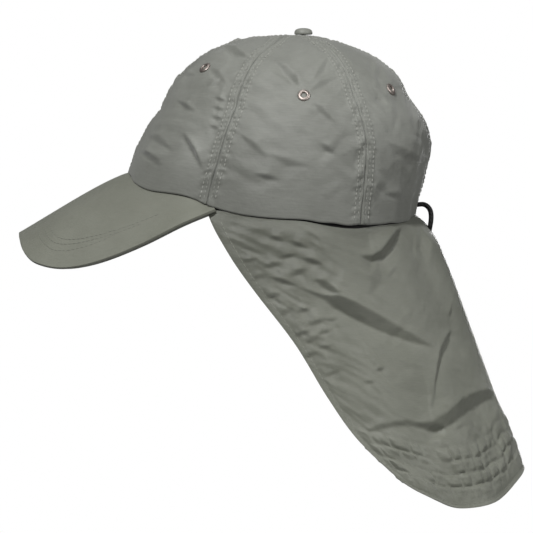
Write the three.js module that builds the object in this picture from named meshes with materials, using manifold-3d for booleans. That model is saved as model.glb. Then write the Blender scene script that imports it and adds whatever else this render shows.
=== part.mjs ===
// A legionnaire cap: six crown panels, eyelets, top button, peak, sweatband, neck flap and elastic cord.
// Millimetres. X runs from the front of the cap (-X) to its back, the wearer's left is -Y, and +Z is up.
// The origin is the middle of the head opening, level with the hem at the temples.
import * as THREE from 'three';
import { mergeVertices } from 'three/addons/utils/BufferGeometryUtils.js';
import Module from 'manifold-3d';

const wasm = await Module();
wasm.setup();

// Crown sizes
const crownHeight = 117;
const crownFrontReach = 113;
const crownRearReach = 83;
const crownHalfWidth = 82;
const crownPeakPointX = 19.8;
const hemRise = 29;
const clothWall = 1.5;
const seamGap = 0.3;
const gatherDepth = 1.4;
const gatherHeight = 24;
const creaseFade = 9;

// Eyelet sizes
const eyeletRadius = 4.1;
const eyeletBore = 1.8;
const eyeletBarrelWall = 0.6;
const eyeletLip = 0.75;
const eyeletBackRadius = 3.5;

// Top button sizes
const buttonRadius = 5.9;
const buttonHeight = 4.2;
const rivetRadius = 1.4;
const rivetPlateRadius = 4.4;
const rivetPlateThickness = 0.8;

// Peak sizes
const peakReach = 71.3;
const peakInset = 4;
const peakHalfWidth = crownHalfWidth - peakInset;
const peakFall = 63;
const peakThickness = 3.4;
const peakSpan = 62;
const peakBow = 1.6;
const peakTuck = 0.7;

// Sweatband sizes
const bandWall = 1.5;
const bandHeight = 13;
const bandOverlap = 3.2;

// Neck flap sizes
const flapTail = 162.5;
const flapDrop = 188.5;
const flapHalfWidth = 82;
const flapWall = 1.5;
const cornerOverlap = 0.5;
const flapStart = peakSpan - cornerOverlap;
const slit = 1.2;
const slitSag = 1.4;
const flapFan = 6;
const flapFlare = 2.2;

// Cord sizes
const cordDiameter = 3;
const cordSpread = 6.5;
const cordHoleHeight = 6.5;

// Clearances
const seatGap = 0.3;
const eyeletGap = 0.45;

// How finely the walls are divided
const panelColumns = { front: 9, side: 9, rear: 12 };
const panelRows = 14;
const peakColumns = 28;
const peakRows = 7;
const bandColumns = 48;
const flapColumns = 44;
const flapRows = 20;

// Crown section at each level: level is a share of the crown's height, front, rear and half are shares
// of its reaches and half width, and lean is how many degrees the seams lean towards the side
const crownSections = [
  { level: -0.07, front: 1.097, rear: 0.858, half: 0.965, lean: -1 },
  { level: 0.02, front: 1.083, rear: 0.872, half: 0.98, lean: -1 },
  { level: 0.09, front: 1.065, rear: 0.892, half: 0.988, lean: -1 },
  { level: 0.256, front: 1, rear: 0.96, half: 1, lean: 0 },
  { level: 0.385, front: 0.947, rear: 0.998, half: 0.99, lean: 1 },
  { level: 0.513, front: 0.88, rear: 0.955, half: 0.96, lean: 2 },
  { level: 0.584, front: 0.82, rear: 0.893, half: 0.932, lean: 2 },
  { level: 0.644, front: 0.791, rear: 0.83, half: 0.893, lean: 2 },
  { level: 0.739, front: 0.739, rear: 0.763, half: 0.82, lean: 3 },
  { level: 0.828, front: 0.653, rear: 0.65, half: 0.715, lean: 4 },
  { level: 0.895, front: 0.561, rear: 0.503, half: 0.59, lean: 6 },
  { level: 0.944, front: 0.451, rear: 0.337, half: 0.44, lean: 9 },
  { level: 0.978, front: 0.342, rear: 0.16, half: 0.285, lean: 10 },
  { level: 1, front: 0, rear: 0, half: 0, lean: 10 },
];

// Height of the hem round the head: angle in degrees from the front, rise a share of hemRise.
// The row past each end keeps the hem level there.
const hemLine = [
  { angle: -12, rise: 0.9 },
  { angle: 0, rise: 1 },
  { angle: 12, rise: 0.9 },
  { angle: 21, rise: 0.74 },
  { angle: 33, rise: 0.585 },
  { angle: 45, rise: 0.5 },
  { angle: 54, rise: 0.39 },
  { angle: 63, rise: 0.17 },
  { angle: 75, rise: -0.02 },
  { angle: 90, rise: -0.1 },
  { angle: 105, rise: -0.19 },
  { angle: 118, rise: -0.225 },
  { angle: 130, rise: -0.19 },
  { angle: 150, rise: -0.14 },
  { angle: 165, rise: -0.035 },
  { angle: 180, rise: 0.095 },
  { angle: 195, rise: -0.035 },
];

// Creases pressed into the crown, from one spot to another: angle in degrees round the head, level a share
// of the crown's height, width and depth in shares of the crown's half width, negative depth for a ridge
const crownCreases = [
  { angle: 12, level: 0.93, endAngle: 57, endLevel: 0.865, width: 0.06, depth: 0.024 },
  { angle: 42, level: 0.43, endAngle: 54, endLevel: 0.28, width: 0.055, depth: 0.036 },
  { angle: 5, level: 0.36, endAngle: 34, endLevel: 0.3, width: 0.09, depth: 0.03 },
  { angle: 95, level: 0.7, endAngle: 115, endLevel: 0.765, width: 0.07, depth: 0.026 },
  { angle: 69, level: 0.83, endAngle: 84, endLevel: 0.7, width: 0.07, depth: 0.026 },
  { angle: 94, level: 0.6, endAngle: 111, endLevel: 0.42, width: 0.09, depth: -0.02 },
  { angle: 156, level: 0.48, endAngle: 161, endLevel: 0.24, width: 0.1, depth: 0.034 },
  { angle: 202, level: 0.5, endAngle: 197, endLevel: 0.25, width: 0.09, depth: 0.03 },
  { angle: 262, level: 0.58, endAngle: 248, endLevel: 0.36, width: 0.1, depth: 0.026 },
  { angle: 276, level: 0.72, endAngle: 292, endLevel: 0.82, width: 0.07, depth: 0.024 },
  { angle: 318, level: 0.46, endAngle: 308, endLevel: 0.3, width: 0.07, depth: 0.03 },
  { angle: 350, level: 0.5, endAngle: 330, endLevel: 0.38, width: 0.08, depth: 0.024 },
];

// Edge of the peak from its middle to its end: across is a share of the half span, ahead a share of the
// reach in front of the crown, side a share of the half width, fall a share of the peak's fall
const peakEdge = [
  { across: -0.15, ahead: 0.99, side: -0.256, fall: 0.708 },
  { across: 0, ahead: 1, side: 0, fall: 0.645 },
  { across: 0.15, ahead: 0.99, side: 0.256, fall: 0.708 },
  { across: 0.3, ahead: 0.945, side: 0.513, fall: 0.828 },
  { across: 0.45, ahead: 0.825, side: 0.7, fall: 0.94 },
  { across: 0.6, ahead: 0.583, side: 0.859, fall: 1 },
  { across: 0.72, ahead: 0.275, side: 0.949, fall: 0.952 },
  { across: 0.84, ahead: -0.118, side: 0.995, fall: 0.79 },
  { across: 0.93, ahead: -0.482, side: 0.99, fall: 0.58 },
  { across: 1, ahead: -0.74, side: 0.965, fall: 0.452 },
];

// Lower edge of the flap from its front corner to its middle: round is a share of the way from the peak's
// end to the middle of the back, tail, drop and side are shares of the flap's reach, drop and half width
const flapHem = [
  { round: 0, tail: 0.495, drop: 0.902, side: 1 },
  { round: 0.1, tail: 0.57, drop: 0.942, side: 0.976 },
  { round: 0.22, tail: 0.646, drop: 0.976, side: 0.927 },
  { round: 0.38, tail: 0.745, drop: 1, side: 0.829 },
  { round: 0.55, tail: 0.849, drop: 0.993, side: 0.671 },
  { round: 0.72, tail: 0.93, drop: 0.957, side: 0.463 },
  { round: 0.88, tail: 0.98, drop: 0.9, side: 0.22 },
  { round: 1, tail: 1, drop: 0.868, side: 0 },
  { round: 1.12, tail: 0.98, drop: 0.9, side: -0.22 },
];

// How far back the flap has swept at each share of its way down, at its front edge, side and middle
const flapSweep = [
  { down: 0, front: 0, side: 0, back: 0 },
  { down: 0.04, front: 0.005, side: 0.012, back: 0.085 },
  { down: 0.1, front: 0.045, side: 0.08, back: 0.195 },
  { down: 0.2, front: 0.13, side: 0.19, back: 0.285 },
  { down: 0.3, front: 0.24, side: 0.3, back: 0.37 },
  { down: 0.5, front: 0.46, side: 0.5, back: 0.53 },
  { down: 0.7, front: 0.63, side: 0.7, back: 0.71 },
  { down: 0.85, front: 0.79, side: 0.85, back: 0.865 },
  { down: 1, front: 1, side: 1, back: 1 },
];

// Folds of the flap, from one spot to another: along is a share of its width from the left front edge to
// the right one, down a share of its way down, width and depth are shares of its half width
const flapFolds = [
  { along: 0.08, down: 0.21, endAlong: 0.145, endDown: 0.235, width: 0.11, depth: 0.035 },
  { along: 0.145, down: 0.235, endAlong: 0.225, endDown: 0.315, width: 0.12, depth: 0.08 },
  { along: 0.225, down: 0.315, endAlong: 0.325, endDown: 0.4, width: 0.11, depth: 0.065 },
  { along: 0.16, down: 0.17, endAlong: 0.3, endDown: 0.32, width: 0.13, depth: -0.035 },
  { along: 0.41, down: 0.03, endAlong: 0.285, endDown: 0.085, width: 0.1, depth: 0.05 },
  { along: 0.285, down: 0.085, endAlong: 0.235, endDown: 0.08, width: 0.1, depth: 0.035 },
  { along: 0.4, down: 0.39, endAlong: 0.35, endDown: 0.43, width: 0.11, depth: 0.03 },
  { along: 0.35, down: 0.43, endAlong: 0.235, endDown: 0.73, width: 0.11, depth: 0.05 },
  { along: 0.375, down: 0.59, endAlong: 0.24, endDown: 0.76, width: 0.15, depth: 0.045 },
  { along: 0.85, down: 0.24, endAlong: 0.77, endDown: 0.33, width: 0.12, depth: 0.075 },
  { along: 0.77, down: 0.33, endAlong: 0.67, endDown: 0.42, width: 0.11, depth: 0.06 },
  { along: 0.83, down: 0.18, endAlong: 0.7, endDown: 0.33, width: 0.13, depth: -0.03 },
  { along: 0.6, down: 0.04, endAlong: 0.71, endDown: 0.09, width: 0.1, depth: 0.045 },
  { along: 0.63, down: 0.45, endAlong: 0.76, endDown: 0.72, width: 0.11, depth: 0.045 },
  { along: 0.64, down: 0.6, endAlong: 0.78, endDown: 0.78, width: 0.15, depth: 0.04 },
];

// Route of the cord from its left hole to the middle of its loop: back and up from the hole, side a share
// of the spread between its two legs
const cordRoute = [
  { back: -1.2, up: 0, side: 1 },
  { back: 1.6, up: 0.3, side: 1 },
  { back: 4.8, up: 0.4, side: 1 },
  { back: 7.6, up: -1, side: 1 },
  { back: 9.4, up: -3.8, side: 1 },
  { back: 9.9, up: -7.2, side: 1 },
  { back: 9.7, up: -10.8, side: 0.97 },
  { back: 9.2, up: -13.9, side: 0.78 },
  { back: 8.9, up: -15.9, side: 0.42 },
  { back: 8.8, up: -16.5, side: 0 },
];

const panels = [
  { name: 'front_left', start: 0, kind: 'front', eyeletLevel: 0.81 },
  { name: 'side_left', start: 60, kind: 'side', eyeletLevel: 0.652 },
  { name: 'rear_left', start: 120, kind: 'rear', eyeletLevel: 0.69 },
  { name: 'rear_right', start: 180, kind: 'rear', eyeletLevel: 0.69 },
  { name: 'side_right', start: 240, kind: 'side', eyeletLevel: 0.652 },
  { name: 'front_right', start: 300, kind: 'front', eyeletLevel: 0.81 },
];
const panelAngle = 360 / panels.length;

const crownCloth = new THREE.MeshStandardMaterial({ color: 0x7d7f76, roughness: 0.62, metalness: 0 });
const peakCloth = new THREE.MeshStandardMaterial({ color: 0x7b7d70, roughness: 0.75, metalness: 0 });
const flapCloth = new THREE.MeshStandardMaterial({ color: 0x6e7066, roughness: 0.58, metalness: 0 });
const bandCloth = new THREE.MeshStandardMaterial({ color: 0x17181a, roughness: 0.9, metalness: 0 });
const elastic = new THREE.MeshStandardMaterial({ color: 0x0c0c0e, roughness: 0.7, metalness: 0 });
const copper = new THREE.MeshStandardMaterial({ color: 0x967f76, roughness: 0.35, metalness: 1 });

// A smooth value read from a table: a cubic through its rows, with each row's slope from its neighbours
function readTable(rows, position, value, at) {
  const last = rows.length - 2;
  let row = 0;
  while (row < last && rows[row + 1][position] < at) row += 1;
  const slopeAt = (index) => {
    const before = rows[Math.max(index - 1, 0)];
    const after = rows[Math.min(index + 1, rows.length - 1)];
    return (after[value] - before[value]) / (after[position] - before[position]);
  };
  const low = rows[row];
  const high = rows[row + 1];
  const step = high[position] - low[position];
  const t = THREE.MathUtils.clamp((at - low[position]) / step, 0, 1);
  const lowShare = (1 + 2 * t) * (1 - t) * (1 - t);
  const lowSlope = t * (1 - t) * (1 - t) * step;
  const highSlope = t * t * (t - 1) * step;
  return low[value] * lowShare + high[value] * (1 - lowShare)
    + slopeAt(row) * lowSlope + slopeAt(row + 1) * highSlope;
}

// The crown's sections by dome position, which is 0 at the apex and 1 at the hem's level
const domeSections = crownSections
  .map((section) => ({ ...section, dome: Math.sqrt(1 - section.level) }))
  .reverse();

const buttonHole = rivetRadius + seatGap;

function hemHeight(angle) {
  const folded = angle > 180 ? 360 - angle : angle;
  return hemRise * readTable(hemLine, 'angle', 'rise', Math.abs(folded));
}

// A point of the crown's smooth outer face, at an angle round the head and a level up the crown
function crownFace(angle, level) {
  const dome = Math.sqrt(Math.max(1 - level, 0));
  const read = (value) => readTable(domeSections, 'dome', value, dome);
  const lean = read('lean') * Math.sin(THREE.MathUtils.degToRad(2 * angle));
  const turn = THREE.MathUtils.degToRad(angle + lean);
  const forward = Math.cos(turn);
  const reach = forward > 0 ? crownFrontReach * read('front') : crownRearReach * read('rear');
  return new THREE.Vector3(
    crownPeakPointX - forward * Math.max(reach, buttonHole),
    -Math.sin(turn) * Math.max(crownHalfWidth * read('half'), buttonHole),
    crownHeight * level,
  );
}

// The level on the crown at a share of the way up from the hem to the button
function levelAt(angle, lift) {
  const hemDome = Math.sqrt(1 - hemHeight(angle) / crownHeight);
  return 1 - (hemDome * (1 - lift)) ** 2;
}

// Outward direction of a face given as a function of two values
function normalOf(face, u, v, step) {
  const alongU = face(u + step.u, v).sub(face(u - step.u, v));
  const alongV = face(u, v + step.v).sub(face(u, v - step.v));
  return alongU.cross(alongV).normalize();
}

function crownNormal(angle, level) {
  const step = { u: 0.5, v: 0.004 };
  const inside = Math.min(level, 1 - 2 * step.v);
  return normalOf(crownFace, angle, inside, step);
}

// How strongly a fold from one spot to another is felt at a point, 1 on its line
function foldPull(point, start, end, width) {
  const line = new THREE.Line3(start, end);
  const nearest = line.closestPointToPoint(point, true, new THREE.Vector3());
  return Math.exp(-((nearest.distanceTo(point) / width) ** 2));
}

const creaseLines = crownCreases.map((crease) => ({
  start: crownFace(crease.angle, crease.level),
  end: crownFace(crease.endAngle, crease.endLevel),
  width: crease.width * crownHalfWidth,
  depth: crease.depth * crownHalfWidth,
}));

// The elastic in the rear hem draws the cloth into small upright gathers
function rearGather(angle, point) {
  const fromBack = Math.abs(angle - 180) / 42;
  if (fromBack >= 1) return 0;
  const ripple = 0.5 - 0.5 * Math.cos(THREE.MathUtils.degToRad(angle * 24));
  const fade = Math.exp(-(((point.z - hemHeight(angle)) / gatherHeight) ** 2));
  return gatherDepth * ripple * fade * (1 - fromBack * fromBack);
}

// Where each panel's eyelet sits: on the smooth outer face at the panel's middle, facing outwards
function eyeletSeat(panel) {
  const angle = panel.start + panelAngle / 2;
  return {
    point: crownFace(angle, panel.eyeletLevel),
    outward: crownNormal(angle, panel.eyeletLevel),
  };
}

const eyeletSeats = panels.map(eyeletSeat);

// Creases fade out above the sweatband, which keeps the cloth from sinking there, and round the eyelets,
// whose flanges hold it flat
function crownRelief(angle, point) {
  const pressed = creaseLines.reduce(
    (sum, crease) => sum + crease.depth * foldPull(point, crease.start, crease.end, crease.width),
    0,
  );
  const bandTop = hemHeight(angle) + bandHeight;
  const aboveBand = THREE.MathUtils.smoothstep(point.z, bandTop, bandTop + creaseFade);
  const nearest = Math.min(...eyeletSeats.map((seat) => seat.point.distanceTo(point)));
  const offEyelet = THREE.MathUtils.smoothstep(nearest, eyeletRadius, eyeletRadius + creaseFade);
  return rearGather(angle, point) - aboveBand * offEyelet * pressed;
}

// A point in the crown's wall: depth is 0 on the outer face and grows inwards
function crownWall(angle, lift, depth) {
  const level = levelAt(angle, lift);
  const point = crownFace(angle, level);
  const outward = crownNormal(angle, level);
  return point.addScaledVector(outward, crownRelief(angle, point) - depth);
}

// A closed wall: a box divided into columns and rows, each corner of it placed by a function of the shares
// across, up and out, which run from 0 to 1
function wallGeometry(columns, rows, place) {
  const box = new THREE.BoxGeometry(1, 1, 1, columns, rows, 1);
  box.deleteAttribute('normal');
  box.deleteAttribute('uv');
  const corners = box.getAttribute('position');
  for (let i = 0; i < corners.count; i += 1) {
    const placed = place(corners.getX(i) + 0.5, corners.getY(i) + 0.5, corners.getZ(i) + 0.5);
    corners.setXYZ(i, placed.x, placed.y, placed.z);
  }
  return mergeVertices(box);
}

function toSolid(geometry) {
  const bare = geometry.clone();
  bare.deleteAttribute('normal');
  bare.deleteAttribute('uv');
  const merged = mergeVertices(bare);
  return new wasm.Manifold(new wasm.Mesh({
    numProp: 3,
    vertProperties: merged.getAttribute('position').array,
    triVerts: Uint32Array.from(merged.getIndex().array),
  }));
}

function toGeometry(solid) {
  const mesh = solid.getMesh();
  const geometry = new THREE.BufferGeometry();
  geometry.setAttribute('position', new THREE.BufferAttribute(mesh.vertProperties, 3));
  geometry.setIndex(new THREE.BufferAttribute(mesh.triVerts, 1));
  return geometry;
}

// A drill along a direction through a point, longer than any wall here
function drill(radius, point, direction) {
  const geometry = new THREE.CylinderGeometry(radius, radius, 8 * clothWall, 12);
  const turn = new THREE.Quaternion().setFromUnitVectors(new THREE.Vector3(0, 1, 0), direction);
  geometry.applyQuaternion(turn);
  geometry.translate(point.x, point.y, point.z);
  return toSolid(geometry);
}

// Where the cord goes through the rear panels, on the left hand (-1) or the right (1)
function cordHole(hand) {
  const rear = crownFace(180, cordHoleHeight / crownHeight);
  return new THREE.Vector3(rear.x, hand * cordSpread, cordHoleHeight);
}

// Points of the cord's centre line, from its left hole round the loop to its right hole
function cordPoints() {
  const place = (row, hand) => cordHole(hand * row.side).add(new THREE.Vector3(row.back, 0, row.up));
  const left = cordRoute.map((row) => place(row, -1));
  const right = cordRoute.slice(0, -1).reverse().map((row) => place(row, 1));
  return [...left, ...right];
}

function panelGeometry(panel) {
  const columns = panelColumns[panel.kind];
  const cloth = wallGeometry(columns, panelRows, (across, up, out) => {
    const middle = panel.start + panelAngle / 2;
    const rough = crownFace(panel.start + across * panelAngle, levelAt(middle, up));
    const radius = Math.hypot(rough.x - crownPeakPointX, rough.y);
    const trim = THREE.MathUtils.radToDeg(seamGap / 2 / radius) * 1.2;
    const angle = panel.start + trim + across * (panelAngle - 2 * trim);
    return crownWall(angle, up, clothWall * (1 - out));
  });
  const seat = eyeletSeat(panel);
  const eyeletHole = drill(eyeletBore + eyeletBarrelWall + seatGap, seat.point, seat.outward);
  let solid = toSolid(cloth).subtract(eyeletHole);
  if (panel.kind === 'rear') {
    const hand = panel.name.endsWith('left') ? -1 : 1;
    const backwards = new THREE.Vector3(1, 0, 0);
    solid = solid.subtract(drill(cordDiameter / 2 + seatGap, cordHole(hand), backwards));
  }
  return toGeometry(solid);
}

// A closed ring turned from a profile of radius and height
function turned(profile, sides) {
  const points = profile.map(([radius, height]) => new THREE.Vector2(radius, height));
  return new THREE.LatheGeometry(points, sides);
}

function closed(geometry) {
  geometry.deleteAttribute('normal');
  geometry.deleteAttribute('uv');
  return mergeVertices(geometry, 1e-4);
}

// The eyelet's flange lies on the cloth, its barrel goes through, and its back lip grips the inside
function eyeletGeometry() {
  const barrel = eyeletBore + eyeletBarrelWall;
  const back = -clothWall - eyeletGap;
  const profile = [
    [eyeletBore, back - eyeletLip],
    [eyeletBackRadius, back - eyeletLip],
    [eyeletBackRadius, back],
    [barrel, back],
    [barrel, eyeletGap],
    [eyeletRadius, eyeletGap],
    [eyeletRadius - eyeletLip / 2, eyeletGap + eyeletLip],
    [barrel, eyeletGap + eyeletLip * 1.2],
    [eyeletBore, back - eyeletLip],
  ];
  return closed(turned(profile, 12));
}

// The button's cloth dome, its rivet through the crown's top and the plate inside
function buttonGeometry() {
  const plateTop = -clothWall - 2 * seatGap;
  const profile = [
    [0, plateTop - rivetPlateThickness],
    [rivetPlateRadius, plateTop - rivetPlateThickness],
    [rivetPlateRadius, plateTop],
    [rivetRadius, plateTop],
    [rivetRadius, seatGap],
    [buttonRadius * 0.93, seatGap],
    [buttonRadius, seatGap + buttonHeight * 0.3],
    [buttonRadius * 0.95, seatGap + buttonHeight * 0.62],
    [buttonRadius * 0.72, seatGap + buttonHeight * 0.88],
    [0, seatGap + buttonHeight],
  ];
  return closed(turned(profile, 14));
}

// The middle of the peak's thickness: across runs from its right end to its left, out from hem to edge
function peakFace(across, out) {
  const side = Math.abs(across);
  const angle = peakSpan * side;
  const read = (value) => readTable(peakEdge, 'across', value, side);
  const hem = crownFace(angle, hemHeight(angle) / crownHeight);
  hem.x -= peakTuck * Math.cos(THREE.MathUtils.degToRad(angle));
  hem.y -= peakTuck * Math.sin(THREE.MathUtils.degToRad(angle));
  hem.z -= seatGap + peakThickness / 2;
  const edge = new THREE.Vector3(
    crownPeakPointX - crownFrontReach - peakReach * read('ahead'),
    -peakHalfWidth * read('side'),
    hemRise - peakFall * read('fall'),
  );
  const point = hem.lerp(edge, out);
  point.z += peakBow * 4 * out * (1 - out);
  point.y *= Math.sign(across) || 1;
  return point;
}

function peakGeometry() {
  const step = { u: 0.01, v: 0.02 };
  return wallGeometry(peakColumns, peakRows, (across, up, out) => {
    const u = 2 * across - 1;
    const reach = 1 - up;
    const inward = THREE.MathUtils.clamp(reach, step.v, 1 - step.v);
    const sideways = THREE.MathUtils.clamp(u, -1 + step.u, 1 - step.u);
    const upward = normalOf(peakFace, sideways, inward, step).negate();
    return peakFace(u, reach).addScaledVector(upward, peakThickness * (out - 0.5));
  });
}

// The slit between the crown's hem and the flap, where the black band shows: widest behind the temples,
// and below the peak's end at the flap's front corner
function slitAt(angle) {
  const folded = Math.min(angle, 360 - angle);
  const behindTemple = Math.exp(-(((folded - 112) / 22) ** 2));
  const belowPeak = Math.exp(-((Math.max(folded - flapStart, 0) / 3) ** 2));
  return slit + slitSag * behindTemple + (peakThickness + seatGap) * belowPeak;
}

function bandGeometry() {
  const trim = THREE.MathUtils.radToDeg(seamGap / 2 / crownRearReach);
  return wallGeometry(bandColumns, 2, (across, up, out) => {
    const angle = (180 + trim + across * (360 - 2 * trim)) % 360;
    const bottom = -slitAt(angle) - bandOverlap;
    const height = hemHeight(angle) + bottom + up * (bandHeight - bottom);
    const level = height / crownHeight;
    const depth = clothWall + seatGap + bandWall * (1 - out);
    return crownFace(angle, level).addScaledVector(crownNormal(angle, level), -depth);
  });
}

// The flap's smooth outer face: along from the left front edge over the back to the right one, down from
// the hem to the lower edge
function flapFace(along, down) {
  const round = 1 - Math.abs(2 * along - 1);
  const hand = along > 0.5 ? 1 : -1;
  const angle = flapStart + round * (180 - flapStart);
  const read = (value) => readTable(flapHem, 'round', value, round);
  const top = crownFace(angle, (hemHeight(angle) - slitAt(angle)) / crownHeight);
  const sweepAt = (value) => readTable(flapSweep, 'down', value, down);
  const toSide = Math.min(round * 2, 1);
  const toBack = Math.max(round * 2 - 1, 0);
  const front = THREE.MathUtils.lerp(sweepAt('front'), sweepAt('side'), toSide);
  const sweep = THREE.MathUtils.lerp(front, sweepAt('back'), toBack * toBack);
  const y = THREE.MathUtils.lerp(-top.y, flapHalfWidth * read('side'), down);
  return new THREE.Vector3(
    THREE.MathUtils.lerp(top.x, flapTail * read('tail'), sweep),
    hand * y,
    THREE.MathUtils.lerp(top.z, -flapDrop * read('drop'), down),
  );
}

const flapFoldLines = flapFolds.map((fold) => ({
  start: flapFace(fold.along, fold.down),
  end: flapFace(fold.endAlong, fold.endDown),
  width: fold.width * flapHalfWidth,
  depth: fold.depth * flapHalfWidth,
}));

// Gathers that fan out below the elastic at the middle of the back, with a valley on the middle line
function flapGather(along, down) {
  const fromMiddle = Math.abs(along - 0.5);
  const spread = Math.exp(-((fromMiddle / 0.17) ** 2));
  const fade = Math.exp(-((down / 0.32) ** 2));
  return -flapFan * spread * fade * Math.cos(2 * Math.PI * fromMiddle / 0.13);
}

// Soft waves that run down to the lower edge
function flapWave(along, down) {
  return flapFlare * down * down * Math.sin(2 * Math.PI * (along * 5.5 + 0.35 * down));
}

function flapRelief(along, down, point) {
  const pressed = flapFoldLines.reduce(
    (sum, fold) => sum + fold.depth * foldPull(point, fold.start, fold.end, fold.width),
    0,
  );
  const settle = THREE.MathUtils.smoothstep(down, 0.035, 0.1);
  return settle * (flapGather(along, down) + flapWave(along, down) - pressed);
}

function flapGeometry() {
  const step = { u: 0.004, v: 0.01 };
  return wallGeometry(flapColumns, flapRows, (across, up, out) => {
    const down = (1 - up) ** 1.15;
    const inside = THREE.MathUtils.clamp(down, step.v, 1 - step.v);
    const along = THREE.MathUtils.clamp(across, step.u, 1 - step.u);
    const outward = normalOf(flapFace, along, inside, step).negate();
    const point = flapFace(across, down);
    return point.addScaledVector(outward, flapRelief(across, down, point) - flapWall * (1 - out));
  });
}

function cordGeometry() {
  const route = new THREE.CatmullRomCurve3(cordPoints(), false, 'centripetal');
  const section = new THREE.Shape();
  section.absarc(0, 0, cordDiameter / 2, 0, 2 * Math.PI);
  const tube = new THREE.ExtrudeGeometry(section, { steps: 36, curveSegments: 4, extrudePath: route });
  return closed(tube);
}

const cap = new THREE.Group();

function add(name, geometry, material) {
  const mesh = new THREE.Mesh(geometry, material);
  mesh.name = name;
  cap.add(mesh);
  return mesh;
}

for (const panel of panels) {
  add(`crown_panel_${panel.name}`, panelGeometry(panel), crownCloth);
  const seat = eyeletSeat(panel);
  const eyelet = add(`eyelet_${panel.name}`, eyeletGeometry(), copper);
  eyelet.position.copy(seat.point);
  eyelet.quaternion.setFromUnitVectors(new THREE.Vector3(0, 1, 0), seat.outward);
}

const button = add('top_button', buttonGeometry(), crownCloth);
button.position.set(crownPeakPointX, 0, crownHeight);
button.rotation.x = Math.PI / 2;

add('peak', peakGeometry(), peakCloth);
add('sweatband', bandGeometry(), bandCloth);
add('neck_flap', flapGeometry(), flapCloth);
add('elastic_cord', cordGeometry(), elastic);

export default cap;
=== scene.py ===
import bmesh
import bpy
import numpy as np
from mathutils import Matrix, Vector


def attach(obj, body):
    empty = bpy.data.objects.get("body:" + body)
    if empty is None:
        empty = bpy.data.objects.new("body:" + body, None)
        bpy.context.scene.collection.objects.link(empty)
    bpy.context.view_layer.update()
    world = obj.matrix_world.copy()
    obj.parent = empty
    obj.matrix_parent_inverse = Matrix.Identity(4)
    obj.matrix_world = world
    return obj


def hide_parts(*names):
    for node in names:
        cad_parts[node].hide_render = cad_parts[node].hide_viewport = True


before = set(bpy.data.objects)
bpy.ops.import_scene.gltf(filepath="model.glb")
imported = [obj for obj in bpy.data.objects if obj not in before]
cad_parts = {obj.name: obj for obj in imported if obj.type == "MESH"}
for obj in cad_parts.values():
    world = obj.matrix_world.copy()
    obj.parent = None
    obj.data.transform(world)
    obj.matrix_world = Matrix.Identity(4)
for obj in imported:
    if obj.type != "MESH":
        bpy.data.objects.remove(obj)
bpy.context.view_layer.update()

# A legionnaire cap. Sizes are in millimetres and become metres when a mesh is made. The peak points to -X,
# the wearer's left is -Y, and the crown's angle runs from the front (0) over the left side to the back (180).
MM = 0.001

# Crown sizes
CROWN_HEIGHT = 117
CROWN_FRONT_REACH = 113
CROWN_REAR_REACH = 83
CROWN_HALF_WIDTH = 82
APEX_X = 19.8
HEM_RISE = 29
BUTTON_HOLE = 1.7
CROWN_CLOTH = 1.1
HEM_LAP = 0.7
SEAM_ROLL = 0.75
SEAM_ROLL_WIDTH = 0.65
GATHER_DEPTH = 1.4
GATHER_HEIGHT = 24
BAND_HEIGHT = 13
CREASE_FADE = 9
LEAF_SLOPE = 0.92
RIGHT_SHIFT = 5
RIGHT_LIFT = 2
RIGHT_STRETCH = 0.96

# Stitch sizes
CROWN_PITCH = 3.0
CROWN_ROWS = (2.6, 5.4)
PEAK_PITCH = 3.2
FLAP_PITCH = 3.4

# Eyelet sizes: its radius, and how far round it the cloth lies flat
EYELET_RADIUS = 4.1
EYELET_FLAT = 5

# Peak sizes
PEAK_REACH = 71.3
PEAK_HALF_WIDTH = 78
PEAK_FALL = 63
PEAK_THICKNESS = 1.8
PEAK_SPAN = 62
PEAK_BOW = 8
PEAK_TUCK = 1
PEAK_SEAT = 1.3

# Band, flap and cord sizes
BAND_WALL = 1.3
BAND_OVERLAP = 3.2
FLAP_TAIL = 162.5
FLAP_DROP = 188.5
FLAP_HALF_WIDTH = 82
FLAP_CLOTH = 0.9
FLAP_START = 61.5
FLAP_RIM = 340
FLAP_LENGTH = 195
FLAP_FRONT_LENGTH = 200
HEM_ROWS = (3, 15, 24.5)
FRONT_HEM_ROW = 4.6
FRONT_HEM_SHARE = 0.0135
SLIT = 1.0
SLIT_SAG = 1.7
CORNER_LIFT = 1.4
CORNER_REACH = 2.8
FLAP_TUCK = 0.8
FLAP_FAN = 4
FLAP_FLARE = 1.6
PILLOW_HEIGHT = 1.8
CORD_DIAMETER = 3
CORD_SPREAD = 6.5
CORD_HOLE_HEIGHT = 6.5

# Sections of the crown: reaches and half width as shares of its sizes, and how many degrees the seams lean
CROWN_SECTIONS = {
    "level": (-0.07, 0.02, 0.09, 0.256, 0.385, 0.513, 0.584, 0.644, 0.739, 0.828, 0.895, 0.944, 0.978, 1),
    "front": (1.097, 1.083, 1.065, 1, 0.947, 0.88, 0.82, 0.791, 0.739, 0.653, 0.561, 0.451, 0.342, 0),
    "rear": (0.858, 0.872, 0.892, 0.96, 0.998, 0.955, 0.893, 0.83, 0.763, 0.65, 0.503, 0.337, 0.16, 0),
    "half": (0.965, 0.98, 0.988, 1, 0.99, 0.96, 0.932, 0.893, 0.82, 0.715, 0.59, 0.44, 0.285, 0),
    "lean": (-1, -1, -1, 0, 1, 2, 2, 2, 3, 4, 6, 9, 10, 10),
}

# Height of the crown's hem as a share of its rise, by the angle round the head
HEM_LINE = {
    "angle": (-12, 0, 12, 21, 33, 45, 54, 63, 75, 90, 105, 118, 130, 150, 165, 180, 195),
    "rise": (0.9, 1, 0.9, 0.74, 0.585, 0.5, 0.39, 0.17, -0.02, -0.1, -0.19, -0.225, -0.19, -0.14, -0.035,
             0.095, -0.035),
}

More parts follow.
